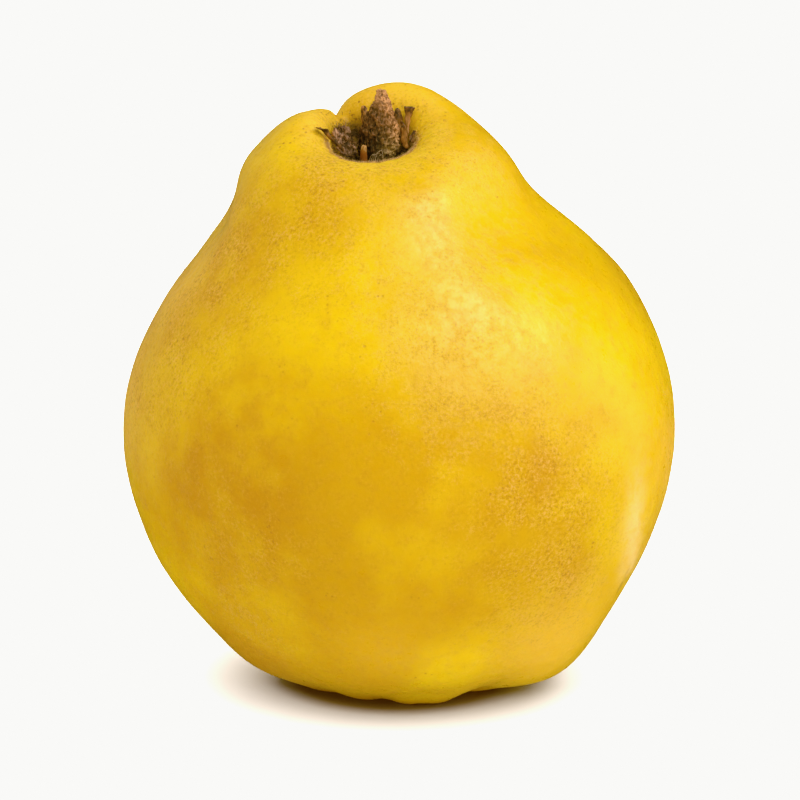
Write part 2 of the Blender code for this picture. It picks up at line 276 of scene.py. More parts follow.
# How strong the layers get: broad gold and lemon, tan in blotches, in mottling and in patches,
# flecks of down in patches, on dry skin and anywhere, wisps, and pores.
BROAD_SHARE = 0.5
BLOTCH_SHARE = 0.2
MOTTLE_SHARE = 0.22
TAN_SHARE = 0.8
DOWN_SHARE = 0.6
DRY_SHARE = 0.25
FLECK_SHARE = 0.1
WISP_SHARE = 0.35
PORE_SHARE = 0.75

# How rough bare skin is, and what down, cork, dryness and mottling add to it.
BARE_ROUGHNESS = 0.27
DOWN_ROUGHNESS = 0.25
CORK_ROUGHNESS = 0.4
DRY_ROUGHNESS = 0.3
MOTTLE_ROUGHNESS = 0.2

# How deep the peel, the wisps, the felt and the pores are, and how much of the wisps and the
# felt is left where the skin is dry and where it is bare.
PEEL_DEPTH = 0.1
WISP_DEPTH = 0.04
FELT_DEPTH = 0.07
PORE_DEPTH = 0.05
DRY_RELIEF = 0.7
BARE_RELIEF = 0.08

# ------------ stub and scraps

STUB_LEVELS = 3
SCRAP_LEVELS = 3
BARK_DARK = (46, 22, 7)
BARK_BROWN = (126, 78, 38)
BARK_PALE = (172, 122, 76)
BARK_TIP = (202, 144, 88)
FELT_OLIVE = (198, 160, 98)
SCRAP_BLACK = (66, 39, 15)
SCRAP_BROWN = (148, 97, 44)
SCRAP_TAN = (188, 132, 70)
SCRAP_RED = (212, 142, 68)
SCALE_DARK = (72, 44, 28)
SCALE_GREY = (196, 146, 106)
PEG_AMBER = (148, 80, 14)
PEG_CREAM = (192, 146, 84)
FIBRE_PALE = (176, 146, 112)
SEPAL_BROWN = (112, 76, 46)
HAIR_BEIGE = (204, 158, 98)
HAIR_PALE = (226, 186, 122)
HAIR_BROWN = (74, 46, 26)
HAIR_GREY = (164, 124, 88)

# The stub's bark: the noise of its furrows, flakes and knobs, how much each counts, how far the
# furrows are drawn out, how deep the bark is, the level in it that lies on the CAD stub, the
# share of the depth that is left at the tip, and the heights where it is least and full.
FURROW_NOISE = (0.7, 5.0, 3)
FLAKE_NOISE = (0.7, 9.0, 3)
KNOB_NOISE = (1.8, 14.0, 2)
FURROW_SHARE = 0.55
FLAKE_SHARE = 0.45
KNOB_SHARE = 0.15
FURROW_STRETCH = 0.25
BARK_DEPTH = 0.85
BARK_LEVEL = 0.35
TIP_DEPTH = 0.4
TIP_HEIGHTS = (0.9, 0.5)

# Marks on the bark, with azimuths in radians and heights as shares of the stub's. Painted shade
# makes it dark low down, the more the farther round from the right, away from the key light.
SHADE_AZIMUTH = -0.2
SHADE_ROUND = (0.0, 0.9)
SHADE_HEIGHTS = (0.6, 0.2)
SHADE_STRENGTH = 0.3
# It is worn pale at the tip, and painted light makes a pale strip up the right, towards the key.
WORN_HEIGHTS = (0.65, 0.95)
STRIP_AZIMUTH = -0.3
STRIP_WIDTH = 0.5
STRIP_HEIGHTS = (0.1, 0.35)
STRIP_STRENGTH = 1.1
# Olive felt lies low on the front at the right.
FELT_AZIMUTH = -0.7
FELT_WIDTH = 0.5
FELT_HEIGHT = 0.15
FELT_TALL = 0.16

# Hairs: how many, shortest and longest, and thickness.
RIM_HAIRS = (4600, 0.15, 0.5, 0.05)
PIT_HAIRS = (3000, 0.6, 1.5, 0.08)
BASIN_HAIRS = (3000, 0.6, 1.6, 0.08)
BARK_FIBRES = (520, 0.6, 1.7, 0.1)
SCALE_FIBRES = (160, 0.5, 1.5, 0.1)
FELT_SEED = 7
BARK_SEED = 9
SCALE_SEED = 12
# How they stand: how far off, how loosely, how deep, and how far looseness shifts their roots.
FELT_STANCE = (1.0, 0.45, 0.12, 0.3)
BARK_STANCE = (0.25, 0.25, 0.12, 0.0)
SCALE_STANCE = (0.6, 0.5, 0.0, 0.0)
# A hair's sides, how far it bows, as a share of its length, and its thickness halfway up.
HAIR_SIDES = 3
HAIR_BOW = (0.05, 0.3)
HAIR_WAIST = 0.7
# How far felt leans inwards on the rim and in the pit, and how far splinters are drawn upwards.
RIM_LEANING = 0.6
PIT_LEANING = 0.3
SPLINTER_PULL = (0.0, 0.0, 0.8)
# Fibres of the bark: how high they grow, and where and how much they turn pale.
FIBRE_HEIGHTS = (0.8, 0.6)
PALE_HEIGHTS = (0.5, 0.9)
PALE_STRENGTH = 0.7

# Dried plant stuff: its colours in the furrows, on the ridges and at the top, and its grain.
# Its streaks are drawn out upwards.
STREAK_STRETCH = (1.0, 1.0, 0.2)
DRY_STUFF = {
    "dry_bract": (SCRAP_BROWN, SCRAP_TAN, SCRAP_BLACK),
    "red_bract": (SCRAP_BLACK, SCRAP_RED),
    "brown_scrap": (SCRAP_BLACK, SCRAP_BROWN),
    "amber_bud": (PEG_AMBER, PEG_AMBER, PEG_CREAM),
    "pale_fibre": (FIBRE_PALE, FIBRE_PALE),
    "dry_scale": (SCALE_DARK, SCALE_GREY, None, 0.4),
    "dry_sepal": (SCRAP_BLACK, SEPAL_BROWN),
}

# The dried scraps: node, stuff, slot, how deep they are crinkled, and their creases' seed and
# scale upwards.
BRACTS = [
    ("bract_right_inner", "dry_bract", "dry_bract", 0.2, 41.0, 0.4),
    ("bract_right_outer", "dry_bract", "dry_bract", 0.2, 42.0, 0.4),
    ("bract_back_left", "red_bract", "dry_bract", 0.2, 44.0, 0.4),
    ("bract_far_left", "brown_scrap", "dry_bract", 0.2, 43.0, 0.4),
    ("bud_peg", "amber_bud", "amber_bud", 0.08, 50.0, 0.4),
]
SCALES = [
    ("bud_scale", "dry_scale", "dry_scale", 0.7, 60.0, 0.25),
    ("stipule_right", "dry_bract", "dry_scale", 0.35, 61.0, 0.25),
    ("stipule_rim", "brown_scrap", "dry_scale", 0.35, 62.0, 0.25),
]
SEPALS = [
    (f"sepal_{number}", "dry_sepal", "dry_sepal", 0.25, 69.0 + number, 0.4)
    for number in range(1, 6)
]

# A scrap's creases and crumples: their size, their octaves, and how much they count.
CREASE_SIZE = 0.6
CREASE_OCTAVES = 3
CREASE_SHARE = 0.6
CRUMPLE_SIZE = 1.1
CRUMPLE_OCTAVES = 2
CRUMPLE_SHARE = 0.5
CRUMPLE_SEED = 0.5
# The share of a scrap's height at which the colour of its top begins and is full.
SCRAP_TOP = (0.55, 0.85)

# Nodes whose tips are hollowed: how wide, how deep, and how far the tip flares. The hollow
# starts a share of the way up, and the flare a little lower.
HOLLOW_TIPS = {"bract_far_left": (0.4, 1.2, 0.9), "bract_right_outer": (0.35, 0.8, 0.45)}
TIP_SHARE = 0.75
FLARE_SHARE = TIP_SHARE - 0.1

# A thread's sides, and a way that no thread runs, from which the sides are turned.
THREAD_SIDES = 6
THREAD_ACROSS = (0.31, 0.87, 0.13)

# The curled threads: how many, the points along each, how thick they are at the foot, and how
# much of that they lose.
CURLS = 5
CURL_POINTS = 16
CURL_THICKNESS = 0.14
CURL_TAPER = 0.6
CURL_SEED = 5
# The least and the most of a curl's half turns, its loop's radius, and its height, as a share
# of the room.
CURL_TURNS = (0.9, 1.5)
CURL_RADII = (0.35, 0.7)
CURL_HEIGHTS = (0.5, 0.9)
# How far the curls stand from the room's corner, how far they spread across it and inwards,
# how narrow their loops are, how they sway inwards, and how fast they rise at first.
CURL_CORNER = 0.2
CURL_ACROSS = 1.2
CURL_INWARD = 0.6
CURL_NARROW = 0.8
CURL_SWAY = 0.3
CURL_RISE = 0.4

# Threads in the basin: piece, node, stuff, how many, their ring's radius at the top and at the
# tips, as shares of the node's, how much thicker their ends are, and the seed.
THREADS = [
    ("stamen_threads", "stamens", "dry_bract", 20, (0.9, 0.72), 2.4, 3),
    ("style_threads", "styles", "dry_sepal", 5, (0.25, 0.8), 1.4, 4),
]
# The radii along a thread, and the share of its length at which its swollen end begins.
THREAD_SWELL = [0.16, 0.13, 0.11, 0.11, 0.12, 0.16, 0.19, 0.17, 0.08]
THREAD_END = 0.7
# The least and the most of a thread's length, as a share of its node's height, how unevenly
# they stand, how late they spread, and how far and how fast they wander round the ring.
THREAD_LENGTHS = (0.75, 0.95)
THREAD_UNEVEN = 0.3
THREAD_SPREAD = 1.5
THREAD_WANDER = 0.12
THREAD_TURNS = 3.0


# ------------ small helpers


def srgb(red, green, blue):
    """A colour given as it looks on a screen, 0 to 255, as linear RGBA."""

    def linear(value):
        value /= 255.0
        return value / 12.92 if value <= 0.04045 else ((value + 0.055) / 1.055) ** 2.4

    return (linear(red), linear(green), linear(blue), 1.0)


def bell(distance, reach):
    """1 at distance 0, fading smoothly past reach."""
    return np.exp(-0.5 * (distance / reach) ** 2)


def near(points, centre, reach):
    """1 for a point at the centre, fading smoothly past reach."""
    return bell(np.linalg.norm(points - centre, axis=1), reach)


def fade(start, end, value):
    """0 at start, 1 at end, and an even S between."""
    x = np.clip((value - start) / (end - start), 0.0, 1.0)
    return x * x * (3.0 - 2.0 * x)


def patches(points, places):
    """How strongly each point lies in the listed places, from 0 to 1."""
    bare = np.ones(len(points))
    for *centre, reach, weight in places:
        bare *= 1.0 - weight * near(points, centre, reach)
    return 1.0 - bare


def from_line(points, line):
    """Each point's distance from a line that runs through the listed places."""
    nearest = np.full(len(points), np.inf)
    for start, end in zip(np.array(line[:-1]), np.array(line[1:])):
        way = end - start
        share = np.clip((points - start) @ way / (way @ way), 0.0, 1.0)
        away = points - start - share[:, None] * way
        nearest = np.minimum(nearest, np.linalg.norm(away, axis=1))
    return nearest


def around(points, centre):
    """Distance from an upright axis, and azimuth about it in radians."""
    across = points[:, :2] - centre[:2]
    return np.hypot(across[:, 0], across[:, 1]), np.arctan2(across[:, 1], across[:, 0])


def waves(points, size, seed, octaves=1):
    """Smooth noise at each point, about -1 to 1, with bumps about size across."""
    total = np.zeros(len(points))
    for octave in range(octaves):
        scale = 2.0**octave
        shift = Vector((seed + 0.37 * octave, 1.7 * seed, -2.3 * seed))
        places = points * (scale / size)
        total += np.array([noise.noise(Vector(place) + shift) for place in places]) / scale
    return total


def patchy(points, level, swing, *kind):
    """Noise that swings about a level, held between 0 and 1."""
    return np.clip(level + swing * waves(points, *kind), 0.0, 1.0)


def read_rows(items, name):
    """Three numbers of each item, one row each."""
    flat = np.empty(3 * len(items))
    items.foreach_get(name, flat)
    return flat.reshape(-1, 3)


def read_points(mesh):
    """The mesh's vertices in millimetres."""
    return read_rows(mesh.vertices, "co") / MM


def read_normals(mesh):
    """The way each vertex faces."""
    return read_rows(mesh.vertex_normals, "vector")


def write_points(mesh, points):
    """Move the mesh's vertices to points in millimetres."""
    mesh.vertices.foreach_set("co", (points * MM).ravel())
    mesh.update()


def write_mask(mesh, name, values):
    """Store one number for each vertex, for the material to read."""
    mask = mesh.attributes.new(name, "FLOAT", "POINT")
    mask.data.foreach_set("value", np.asarray(values, dtype=np.float32))


def node_box(node):
    """The lowest and highest corner of a CAD node, in millimetres."""
    return np.array(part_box(node)) / MM


def middle(node):
    """The middle of a CAD node's box."""
    low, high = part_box(node)
    return (np.array(low) + np.array(high)) / (2.0 * MM)


def unit(ways):
    """Each row scaled to length 1."""
    return ways / np.linalg.norm(ways, axis=1)[:, None]


def spokes(across, beside, count):
    """The ways to the corners of a ring, given two ways at right angles in its plane."""
    angles = [2.0 * math.pi * corner / count for corner in range(count)]
    return [across * math.cos(angle) + beside * math.sin(angle) for angle in angles]


def build_mesh(name, points, faces):
    """A mesh from corners in millimetres."""
    mesh = bpy.data.meshes.new(name)
    mesh.from_pydata((points * MM).tolist(), [], faces)
    mesh.update()
    return mesh


def relaxed(mesh, points, weights, rounds):
    """The points, drawn round by round towards the middle of their neighbours."""
    ends = np.empty(2 * len(mesh.edges), dtype=np.int64)
    mesh.edges.foreach_get("vertices", ends)
    first, second = ends.reshape(-1, 2).T
    near = np.bincount(ends, minlength=len(points))[:, None]
    for _ in range(rounds):
        total = np.zeros_like(points)
        np.add.at(total, first, points[second])
        np.add.at(total, second, points[first])
        points = points + weights[:, None] * (total / near - points)
    return points


def refined(node, levels):
    """A CAD node's mesh, welded, with its triangles joined in pairs, and subdivided smooth."""
    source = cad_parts[node].data
    plain = bpy.data.meshes.new(node)
    corners = [vertex.co for vertex in source.vertices]
    plain.from_pydata(corners, [], [tuple(face.vertices) for face in source.polygons])
    shape = bmesh.new()
    shape.from_mesh(plain)
    bmesh.ops.remove_doubles(shape, verts=shape.verts, dist=WELD_DISTANCE * MM)
    limits = {"angle_face_threshold": QUAD_ANGLE, "angle_shape_threshold": QUAD_ANGLE}
    bmesh.ops.join_triangles(shape, faces=shape.faces, **limits)
    shape.to_mesh(plain)
    shape.free()
    carrier = bpy.data.objects.new(node, plain)
    bpy.context.scene.collection.objects.link(carrier)
    smooth = carrier.modifiers.new("smooth", "SUBSURF")
    smooth.levels = levels
    smooth.render_levels = levels
    evaluated = carrier.evaluated_get(bpy.context.evaluated_depsgraph_get())
    mesh = bpy.data.meshes.new_from_object(evaluated)
    bpy.data.objects.remove(carrier, do_unlink=True)
    return mesh


def add_piece(name, mesh, material, replaced=()):
    """Put a finished mesh in the scene, riding on the quince's one body."""
    mesh.materials.clear()
    mesh.materials.append(material)
    mesh.shade_smooth()
    piece = bpy.data.objects.new(name, mesh)
    look.objects.link(piece)
    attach(piece, "root")
    if replaced:
        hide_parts(*replaced)


# ------------ materials


class Tree:
    """The nodes of a material or a world, with short calls that add to them."""

    def __init__(self, owner):
        owner.use_nodes = True
        self.nodes = owner.node_tree.nodes
        self.links = owner.node_tree.links

    def feed(self, node, inputs):
        """Link each input to a socket, or set its value, and give the node back."""
        for name, value in inputs.items():
            if isinstance(value, bpy.types.NodeSocket):
                self.links.new(value, node.inputs[name])
            else:
                node.inputs[name].default_value = value
        return node

    def node(self, kind, inputs):
        """Add a node."""
        return self.feed(self.nodes.new(kind), inputs)

    def vector_math(self, operation, inputs):
        """Add a calculation with vectors, whose inputs are numbered."""
        made = self.node("ShaderNodeVectorMath", inputs)
        made.operation = operation
        return made


class Shader(Tree):
    """One material, with calls for what its surface is made of."""

    def __init__(self, name):
        self.material = bpy.data.materials.new(name)
        super().__init__(self.material)
        self.place = self.node("ShaderNodeTexCoord", {}).outputs["Object"]
        self.surface = self.nodes["Principled BSDF"]

    def mask(self, name):
        """A number stored on the mesh."""
        read = self.node("ShaderNodeAttribute", {})
        read.attribute_name = name
        return read.outputs["Fac"]

    def noise(self, size, detail=2.0, rough=0.5, place=None):
        """Noise from 0 to 1, with bumps about size across."""
        inputs = {
            "Vector": place or self.place,
            "Scale": 1.0 / (size * MM),
            "Detail": detail,
            "Roughness": rough,
        }
        return self.node("ShaderNodeTexNoise", inputs).outputs["Fac"]

    def cells(self, size):
        """Distance to the nearest of points about size apart, as a share of size."""
        inputs = {"Vector": self.place, "Scale": 1.0 / (size * MM)}
        return self.node("ShaderNodeTexVoronoi", inputs).outputs["Distance"]

    def ramp(self, value, start, end, high=1.0, low=0.0):
        """Low where value is start, high where it is end, and a smooth S between."""
        inputs = {"Value": value, "From Min": start, "From Max": end, "To Min": low, "To Max": high}
        ramp = self.node("ShaderNodeMapRange", inputs)
        ramp.interpolation_type = "SMOOTHSTEP"
        return ramp.outputs["Result"]

    def math(self, operation, first, second):
        """A result held between 0 and 1, except that a difference may be negative."""
        made = self.node("ShaderNodeMath", {0: first, 1: second})
        made.operation = operation
        made.use_clamp = operation != "SUBTRACT"
        return made.outputs["Value"]

    def times(self, result, *others):
        for other in others:
            result = self.math("MULTIPLY", result, other)
        return result

    def plus(self, result, *others):
        for other in others:
            result = self.math("ADD", result, other)
        return result

    def mix(self, factor, first, second):
        """From the first colour to the second, as factor goes from 0 to 1."""
        made = self.nodes.new("ShaderNodeMix")
        made.data_type = "RGBA"
        return self.feed(made, {"Factor": factor, 6: first, 7: second}).outputs[2]

    def over(self, colour, factor, painted):
        """The colour with another, given 0 to 255, painted over it as strongly as factor."""
        return self.mix(factor, colour, srgb(*painted))

    def bump(self, height, depth, under=None):
        """Relief from a height of 0 to 1, depth millimetres deep, laid over another bump."""
        inputs = {"Height": height, "Distance": depth * MM, "Strength": 1.0}
        if under is not None:
            inputs["Normal"] = under
        return self.node("ShaderNodeBump", inputs).outputs["Normal"]


def skin_material():
    """Yellow skin: mottled, tan where down is left, with fine pores, and corky in the pit, with
    painted shade as cork in the gully behind the stub. Its pale layer is mostly painted light, and
    the rib's pale is a painted highlight. A ramp names the levels of noise between which a layer
    fades in."""
    s = Shader("quince_skin")
    down = s.mask("down")
    cork_and_painted_shade = s.mask("cork_and_painted_shade")
    dry = s.mask("dry")
    broad = s.noise(*BROAD_NOISE)
    blotch = s.noise(*BLOTCH_NOISE)
    mottle = s.noise(*MOTTLE_NOISE)
    grain = s.noise(*GRAIN_NOISE)

    gold = s.plus(s.mask("gold"), s.ramp(broad, 0.62, 0.4, BROAD_SHARE))
    lemon = s.plus(s.mask("lemon"), s.ramp(broad, 0.45, 0.7, BROAD_SHARE))
    tan = s.times(s.mask("tan"), s.ramp(blotch, 0.3, 0.62, 1.0, 0.6))
    # How strongly the rib's painted highlight shows.
    rib = s.times(s.mask("rib"), s.ramp(mottle, 0.3, 0.6, 0.8, 0.4))

    anywhere = s.ramp(mottle, 0.35, 0.65, FLECK_SHARE)
    flecks = s.plus(s.times(down, DOWN_SHARE), s.times(dry, DRY_SHARE), anywhere)
    off_line = s.math("ABSOLUTE", s.math("SUBTRACT", s.noise(WISP_SIZE), 0.5), 0.0)
    wisps = s.times(s.ramp(off_line, WISP_WIDTH, 0.0), s.ramp(mottle, 0.4, 0.55))
    porous = s.plus(s.ramp(s.noise(*PORE_NOISE), 0.5, 0.7, 0.5), s.mask("speckled"))
    dots = s.ramp(s.cells(PORE_SPACING), 0.3, 0.1)
    pores = s.times(dots, porous, s.ramp(mottle, 0.42, 0.55))
    rim = s.times(s.mask("rim"), s.ramp(grain, 0.35, 0.6, 1.0, 0.5))

    layers = [
        (gold, SKIN_GOLD),
        (lemon, SKIN_LEMON),
        (s.ramp(blotch, 0.45, 0.75, BLOTCH_SHARE), SKIN_TAN),
        (s.ramp(mottle, 0.5, 0.75, MOTTLE_SHARE), SKIN_TAN),
        (s.times(tan, TAN_SHARE), SKIN_TAN),
        # The pale layer is mostly painted light: sheen at the edges, a highlight on the right
        # shoulder, and light on the tops and low on the front.
        (s.mask("pale"), SKIN_PALE_AND_PAINTED_LIGHT),
        # The rib's pale is a painted highlight.
        (rib, RIB_HIGHLIGHT),
        (s.times(flecks, s.ramp(grain, 0.5, 0.66)), DOWN_PALE),
        (s.times(flecks, s.ramp(grain, 0.48, 0.36)), DOWN_DARK),
        (s.times(wisps, down, WISP_SHARE), DOWN_PALE),
        (s.times(pores, PORE_SHARE), PORE_BROWN),
        (s.mask("scar"), PORE_BROWN),
        (rim, RIM_BEIGE),
    ]
    colour = srgb(*SKIN_MIDDLE)
    for factor, painted in layers:
        colour = s.over(colour, factor, painted)
    cork_colour = s.over(srgb(*BARK_DARK), s.ramp(grain, 0.35, 0.65), CORK_BROWN)
    colour = s.mix(cork_and_painted_shade, colour, cork_colour)

    roughness = s.plus(
        s.times(down, DOWN_ROUGHNESS),
        s.times(cork_and_painted_shade, CORK_ROUGHNESS),
        s.times(dry, DRY_ROUGHNESS),
        BARE_ROUGHNESS,
        s.ramp(mottle, 0.35, 0.65, MOTTLE_ROUGHNESS),
    )

    rough = s.plus(down, s.times(dry, DRY_RELIEF), BARE_RELIEF)
    relief = s.bump(s.noise(*PEEL_NOISE), PEEL_DEPTH)
    relief = s.bump(s.times(wisps, rough), WISP_DEPTH, relief)
    relief = s.bump(s.times(grain, rough), FELT_DEPTH, relief)
    relief = s.bump(s.math("SUBTRACT", 1.0, pores), PORE_DEPTH, relief)
    looks = {
        "Base Color": colour,
        "Roughness": roughness,
        "Normal": relief,
        "Specular IOR Level": 0.34,
        "Specular Tint": srgb(*GLOSS_TINT),
        "Sheen Weight": 0.045,
        "Sheen Roughness": 0.25,
        "Sheen Tint": srgb(*SHEEN_TINT),
        "Subsurface Weight": 0.1,
        "Subsurface Radius": (1.0, 0.5, 0.1),
        "Subsurface Scale": 2.0 * MM,
    }
    s.feed(s.surface, looks)
    return s.material


def dry_material(name, dark, pale, top=None, size=0.5, patch=None):
    """Dry plant stuff: dark in its furrows, pale on its ridges, and another colour at the top
    and in a patch. A ramp names the levels of relief or noise between which a colour fades in."""
    s = Shader(name)
    grain = s.noise(size, 4.0, 0.65)
    drawn_out = s.vector_math("MULTIPLY", {0: s.place, 1: STREAK_STRETCH})
    streaks = s.noise(size, 3.0, 0.6, drawn_out.outputs["Vector"])
    ridges = s.plus(
        s.ramp(s.mask("relief"), 0.35, 0.8, 0.6),
        s.ramp(grain, 0.5, 0.72, 0.5),
        s.ramp(streaks, 0.52, 0.66, 0.45),
    )
    colour = s.over(srgb(*dark), ridges, pale)
    if top is not None:
        tipped = s.times(s.mask("top"), s.ramp(grain, 0.4, 0.58, 1.0, 0.2))
        colour = s.over(colour, tipped, top)
    if patch is not None:
        patched = s.times(s.mask("patch"), s.ramp(grain, 0.4, 0.6, 1.0, 0.2))
        colour = s.over(colour, patched, patch)
    relief = s.plus(s.times(grain, 0.6), s.times(streaks, 0.4))
    looks = {
        "Base Color": colour,
        "Roughness": s.ramp(grain, 0.3, 0.7, 0.7, 0.95),
        "Normal": s.bump(relief, 0.12),
        "Specular IOR Level": 0.3,
        "Sheen Weight": 0.04,
        "Sheen Tint": srgb(*pale),
    }
    s.feed(s.surface, looks)
    return s.material


def hair_material(name, dark, pale, tip=None):
    """Fine dry hairs, whose colour wanders from place to place, with another colour high up."""
    s = Shader(name)
    colour = s.over(srgb(*dark), s.ramp(s.noise(0.8, 3.0), 0.35, 0.65), pale)
    if tip is not None:
        colour = s.over(colour, s.mask("top"), tip)
    looks = {"Base Color": colour, "Roughness": 0.8, "Specular IOR Level": 0.2}
    s.feed(s.surface, looks)
    return s.material


def card_material(name, colour):
    """Matt card with the faintest cloudiness, tinted where the quince throws its warm light."""
    s = Shader(name)
    shaded = [CLOUD_SHADE * value for value in colour]
    tinted = [value * tint for value, tint in zip(colour, GLOW_TINT)]
    cloudy = s.mix(s.noise(CLOUD_SIZE), (*colour, 1.0), (*shaded, 1.0))
    away = s.vector_math("LENGTH", {0: s.place}).outputs["Value"]
    glow = s.ramp(away, GLOW_END * MM, GLOW_FULL * MM)
    glowing = s.mix(glow, cloudy, (*tinted, 1.0))
    looks = {"Base Color": glowing, "Roughness": 1.0, "Specular IOR Level": 0.0}
    s.feed(s.surface, looks)
    return s.material


# ------------ skin


class Places:
    """Where the points of the fruit lie about its stem pit and calyx basin. Azimuths are radians,
    and out is the distance from the pit's middle as a share of the rim's reach."""

    def __init__(self, points):
        self.pit = middle("stem_stub") + PIT_FROM_STUB
        self.basin = middle("stamens")
        from_pit, self.pit_azimuth = around(points, self.pit)
        self.from_basin, self.basin_azimuth = around(points, self.basin)
        self.forward = np.maximum(-np.sin(self.pit_azimuth), 0.0) ** 2
        self.out = from_pit / (RIM_REACH + RIM_FORWARD * self.forward)
        self.upper = fade(*UPPER_SIDE, points[:, 2])
        self.lower = fade(*LOWER_SIDE, points[:, 2])
        fading = fade(*RIB_HEIGHTS, points[:, 2])
        self.rib = bell(from_line(points, RIB), RIB_WIDTH) * fading

    def find_felt(self, points):
        """How much felt, from 0 to 1, is in the pit, in the basin and on the rim."""
        edge = waves(points, *EDGE_NOISE)
        clean = CLEAN_SHARE * np.maximum(np.cos(self.pit_azimuth - CLEAN_AZIMUTH), 0.0)
        in_pit = self.upper * fade(*PIT_FELT, self.out + PIT_RAGGED * edge + clean)
        # The gully behind the stub joins the pit: felt grows there, and its darkness is painted
        # shade.
        self.in_pit = np.maximum(in_pit, near(points, SHADED_GULLY, SHADED_GULLY_REACH))
        from_basin = self.from_basin + BASIN_RAGGED * edge
        self.in_basin = self.lower * fade(*BASIN_FELT, from_basin)
        front = fade(*RIM_SIDE, np.cos(self.pit_azimuth - RIM_AZIMUTH))
        off_rim = self.out - RIM_PLACE + RIM_RAGGED * edge
        self.rim = self.upper * front * bell(off_rim, RIM_WIDTH)


def skin_height(points, at):
    """How far the finished skin stands off the CAD fruit at each point."""
    height = np.zeros(len(points))
    for index, (size, amount) in enumerate(SKIN_WAVES):
        height += amount * waves(points, size, WAVE_SEED + index)
    warp = FOLD_WARP * waves(points, *WARP_NOISE)
    folds = np.sin(PIT_FOLDS * at.pit_azimuth + warp)
    folds += FINE_FOLD_SHARE * np.sin(FINE_FOLDS * at.pit_azimuth - 2.0 * warp)
    folds *= FOLD_LEVEL + FOLD_SWING * waves(points, *FOLD_NOISE)
    height += PIT_FOLD_DEPTH * folds * at.upper * bell(at.out - 1.0, PIT_FOLD_WIDTH)
    folds = np.sin(BASIN_FOLDS * at.basin_azimuth + warp)
    on_rim = bell(at.from_basin - BASIN_RIM, BASIN_FOLD_WIDTH)
    height += BASIN_FOLD_DEPTH * folds * at.lower * on_rim
    height += RIB_HEIGHT * at.rib
    for *centre, reach, rise in SWELLS:
        height += rise * near(points, centre, reach)
    height -= RIM_DIP * at.upper * at.forward * bell(at.out - 1.0, RIM_DIP_WIDTH)
    return height * fade(0.0, STANDING_HEIGHT, points[:, 2])


def write_skin_masks(mesh, points, at):
    """Store where each layer of the skin's colour shows."""
    down = patches(points, DOWN) * patchy(points, *BROKEN_DOWN)
    scar = bell(from_line(points, SCAR), SCAR_WIDTH)
    ring = at.upper * bell(at.out - PORES_PLACE, PORES_WIDTH)
    masks = {
        "tan": patches(points, TAN),
        "gold": patches(points, GOLD),
        "lemon": patches(points, LEMON),
        # The pale patches are mostly painted light.
        "pale": patches(points, PALE_AND_PAINTED_LIGHT),
        "down": np.clip(down + at.rim, 0.0, 1.0),
        # Cork in the pit and the basin, and painted shade in the gully behind the stub.
        "cork_and_painted_shade": np.maximum(at.in_pit, at.in_basin),
        "rim": RIM_STRENGTH * at.rim,
        "rib": at.rib,
        "scar": scar * patchy(points, *TORN_SCAR),
        "speckled": ring * patchy(points, *PORE_CLUSTERS),
        "dry": at.upper * fade(*DRY_REACH, at.out),
    }
    for name, values in masks.items():
        write_mask(mesh, name, values)


def make_skin():
    """The CAD fruit, subdivided, with its shape finished, and with its felt."""
    mesh = refined("fruit", SKIN_LEVELS)
    points = read_points(mesh)
    cleft = near(points, CLEFT_END, CLEFT_REACH)
    points = relaxed(mesh, points, cleft, CLEFT_ROUNDS)
    write_points(mesh, points)
    at = Places(points)
    points = points + read_normals(mesh) * skin_height(points, at)[:, None]
    points = np.clip(points, *np.array(cad_box) / MM)
    write_points(mesh, points)
    at.find_felt(points)
    write_skin_masks(mesh, points, at)
    add_piece("fruit_skin", mesh, skin_material(), ["fruit"])
    make_felt(points, read_normals(mesh), at)


def grow_hairs(name, growth, ground, pull, stance, dice):
    """Closed hairs that stand off the ground, which is points and normals, are pulled a way,
    bow sideways and taper to a point."""
    points, normals = ground
    count, shortest, longest, thickness = growth
    stand, looseness, depth, shift = stance
    loose = dice.normal(scale=looseness, size=(count, 3))
    ways = unit(stand * normals + pull + loose)
    roots = points - normals * depth + shift * loose
    across = unit(np.cross(ways, dice.normal(size=(count, 3))))
    beside = np.cross(ways, across)
    lengths = dice.uniform(shortest, longest, count)[:, None]
    bow = across * lengths * dice.uniform(*HAIR_BOW, count)[:, None]
    halfway = roots + ways * lengths / 2.0 + bow
    corners = np.empty((count, 2 * HAIR_SIDES + 1, 3))
    for side, spoke in enumerate(spokes(across, beside, HAIR_SIDES)):
        spoke = spoke * thickness / 2.0
        corners[:, side] = roots + spoke
        corners[:, HAIR_SIDES + side] = halfway + HAIR_WAIST * spoke
    corners[:, -1] = roots + ways * lengths
    ring = [(side, (side + 1) % HAIR_SIDES) for side in range(HAIR_SIDES)]
    one = [tuple(reversed(range(HAIR_SIDES)))]
    one += [(a, b, HAIR_SIDES + b, HAIR_SIDES + a) for a, b in ring]
    one += [(HAIR_SIDES + a, HAIR_SIDES + b, 2 * HAIR_SIDES) for a, b in ring]
    faces = []
    for start in range(0, corners.shape[0] * corners.shape[1], corners.shape[1]):
        faces += [tuple(start + corner for corner in face) for face in one]
    return build_mesh(name, corners.reshape(-1, 3), faces)


def chosen(weights, count, dice):
    """Which vertices hairs grow from, more of them where the weights are high."""
    return dice.choice(len(weights), count, p=weights / weights.sum())


